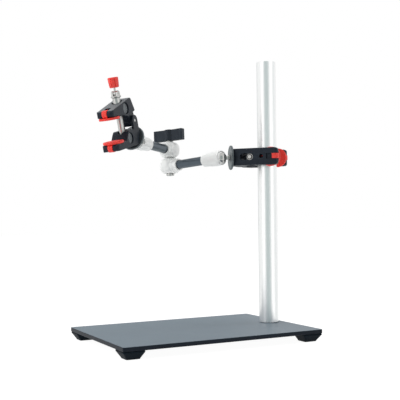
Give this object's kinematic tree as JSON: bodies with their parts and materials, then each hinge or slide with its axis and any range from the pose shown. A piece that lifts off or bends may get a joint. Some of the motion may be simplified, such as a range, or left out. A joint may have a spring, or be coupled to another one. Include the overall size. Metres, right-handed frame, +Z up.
{
  "type": "adjustable sensor holder",
  "caption": "Base plate with a round column, a padded clamp sliding on it, an arm that folds at a knob-locked elbow, and a padded jaw clamp on ball joints that holds a sensor.",
  "frame": {"origin": "on the bench surface, below the centre of the whole holder's box in the pose of the picture", "axes": "+Z up along the column, +X along the base plate's long side towards the column, +Y towards the back"},
  "size_m": [0.2802, 0.2364, 0.3551],
  "materials": {
    "plate": "satin black powder coat",
    "foot": "moulded matt black",
    "column": "satin silver anodised",
    "tube": "satin slate anodised",
    "silver": "pearl silver",
    "jaw": "fine matt black coat",
    "pad": "satin red",
    "grip": "satin red",
    "chrome": "polished",
    "disc": "satin black anodised",
    "knob": "fine matt black"
  },
  "bodies": {
    "stand": {"base_plate": "plate", "column_screw": "chrome", "foot_front_left": "foot", "foot_front_right": "foot", "foot_rear_left": "foot", "foot_rear_right": "foot", "foot_screw_front_left": "chrome", "foot_screw_front_right": "chrome", "foot_screw_rear_left": "chrome", "foot_screw_rear_right": "chrome"},
    "column": {"column": "column"},
    "column_clamp": {"column_fixed_jaw": "jaw", "column_fixed_pad": "pad", "column_hinge_pin": "chrome"},
    "column_jaw": {"column_moving_jaw": "jaw", "column_moving_pad": "pad"},
    "column_nut": {"column_barrel_nut": "jaw"},
    "column_carrier": {"column_screw_carrier": "jaw"},
    "column_spindle": {"column_clamp_screw": "chrome", "column_fork_head": "chrome", "column_lever_pin": "chrome"},
    "column_handle": {"column_lever": "chrome", "column_lever_grip": "grip"},
    "column_stud": {"column_ball_stud": "chrome"},
    "column_disc": {"column_lock_disc": "disc"},
    "lower_arm": {"lower_socket": "silver", "lower_tube": "tube", "lower_push_rod": "chrome", "lower_knuckle": "silver", "lower_cone": "chrome", "elbow_bolt": "chrome"},
    "upper_arm": {"upper_socket": "silver", "upper_tube": "tube", "upper_push_rod": "chrome", "upper_knuckle": "silver", "upper_cone": "chrome"},
    "elbow_lock": {"elbow_knob": "knob", "knob_collar": "silver"},
    "holding_stud": {"holding_ball_stud": "chrome"},
    "holding_disc": {"holding_lock_disc": "disc"},
    "holding_clamp": {"holding_fixed_jaw": "jaw", "holding_fixed_pad": "pad", "holding_hinge_pin": "chrome"},
    "holding_jaw": {"holding_moving_jaw": "jaw", "holding_moving_pad": "pad"},
    "holding_nut": {"holding_barrel_nut": "jaw"},
    "holding_carrier": {"holding_screw_carrier": "jaw"},
    "holding_spindle": {"holding_clamp_screw": "chrome", "holding_fork_head": "chrome", "holding_lever_pin": "chrome"},
    "holding_handle": {"holding_lever": "chrome", "holding_lever_grip": "grip"}
  },
  "joints": [
    {"name": "column_turn", "type": "hinge", "parent": "stand", "child": "column", "pos_m": [0.0999, -0.0282, 0.0151], "axis": [0, 0, 1], "continuous": true},
    {"name": "clamp_height", "type": "slide", "parent": "column", "child": "column_clamp", "axis": [0, 0, 1], "range_m": [-0.19, 0.11]},
    {"name": "column_jaw_open", "type": "hinge", "parent": "column_clamp", "child": "column_jaw", "pos_m": [0.07995, 0.00383, 0.2301], "axis": [0, 0, 1], "range_deg": [0, 15.1]},
    {"name": "column_nut_swing", "type": "hinge", "parent": "column_clamp", "child": "column_nut", "pos_m": [0.07796, -0.02396, 0.2301], "axis": [0, 0, 1], "range_deg": [0, 7.04]},
    {"name": "column_screw_travel", "type": "slide", "parent": "column_nut", "child": "column_carrier", "axis": [0.7593, 0.6508, 0], "range_m": [0, 0.00525]},
    {"name": "column_lever_turn", "type": "hinge", "parent": "column_carrier", "child": "column_spindle", "pos_m": [0.1059, -0.00001, 0.2301], "axis": [0.7593, 0.6508, 0], "range_deg": [0, 947]},
    {"name": "column_lever_fold", "type": "hinge", "parent": "column_spindle", "child": "column_handle", "pos_m": [0.12086, 0.01281, 0.2301], "axis": [0, 0, -1], "range_deg": [0, 90]},
    {"name": "column_ball_turn", "type": "hinge", "parent": "column_clamp", "child": "column_stud", "pos_m": [0.04637, -0.00117, 0.2301], "axis": [0.9432, -0.3322, 0], "continuous": true},
    {"name": "column_disc_turn", "type": "hinge", "parent": "column_stud", "child": "column_disc", "pos_m": [0.05816, -0.00532, 0.2301], "axis": [0.9432, -0.3322, 0], "continuous": true},
    {"name": "column_ball_tilt", "type": "hinge", "parent": "column_stud", "child": "lower_arm", "pos_m": [0.04637, -0.00117, 0.2301], "axis": [0.0224, 0.0636, 0.9977], "range_deg": [-30, 95]},
    {"name": "elbow_swing", "type": "hinge", "parent": "lower_arm", "child": "upper_arm", "pos_m": [0.01668, 0.09417, 0.22469], "axis": [0.0036, -0.0555, -0.9985], "range_deg": [-35, 180]},
    {"name": "elbow_knob_turn", "type": "hinge", "parent": "lower_arm", "child": "elbow_lock", "pos_m": [0.01654, 0.09639, 0.26463], "axis": [-0.0036, 0.0555, 0.9985], "continuous": true},
    {"name": "holding_ball_tilt", "type": "hinge", "parent": "upper_arm", "child": "holding_stud", "pos_m": [-0.05972, 0.03088, 0.25027], "axis": [0.646, -0.7631, 0.0194], "range_deg": [-30, 62]},
    {"name": "holding_ball_turn", "type": "hinge", "parent": "holding_stud", "child": "holding_clamp", "pos_m": [-0.05972, 0.03088, 0.25027], "axis": [-0.7355, -0.6155, 0.2831], "continuous": true},
    {"name": "holding_disc_turn", "type": "hinge", "parent": "holding_stud", "child": "holding_disc", "pos_m": [-0.06892, 0.02318, 0.25381], "axis": [-0.7355, -0.6155, 0.2831], "continuous": true},
    {"name": "holding_jaw_open", "type": "hinge", "parent": "holding_clamp", "child": "holding_jaw", "pos_m": [-0.07901, 0.01605, 0.27396], "axis": [-0.6543, 0.7538, -0.0611], "range_deg": [-23.6, 15.1]},
    {"name": "holding_nut_swing", "type": "hinge", "parent": "holding_clamp", "child": "holding_nut", "pos_m": [-0.08914, 0.00535, 0.25031], "axis": [-0.6543, 0.7538, -0.0611], "range_deg": [-10.97, 7.04]},
    {"name": "holding_screw_travel", "type": "slide", "parent": "holding_nut", "child": "holding_carrier", "axis": [-0.2155, -0.1085, 0.9705], "range_m": [-0.00822, 0.00525]},
    {"name": "holding_lever_turn", "type": "hinge", "parent": "holding_carrier", "child": "holding_spindle", "pos_m": [-0.09707, 0.00135, 0.28603], "axis": [-0.2155, -0.1085, 0.9705], "range_deg": [-1482, 947]},
    {"name": "holding_lever_fold", "type": "hinge", "parent": "holding_spindle", "child": "holding_handle", "pos_m": [-0.10131, -0.00078, 0.30514], "axis": [0.6543, -0.7538, 0.0611], "range_deg": [0, 90]}
  ],
  "couplings": [
    {"joint": "column_jaw_open", "follows": "column_screw_travel", "rad_per_m": 49.904},
    {"joint": "column_nut_swing", "follows": "column_screw_travel", "rad_per_m": 23.078},
    {"joint": "column_lever_turn", "follows": "column_screw_travel", "rad_per_m": 3141.6},
    {"joint": "holding_jaw_open", "follows": "holding_screw_travel", "rad_per_m": 49.904},
    {"joint": "holding_nut_swing", "follows": "holding_screw_travel", "rad_per_m": 23.078},
    {"joint": "holding_lever_turn", "follows": "holding_screw_travel", "rad_per_m": 3141.6}
  ]
}
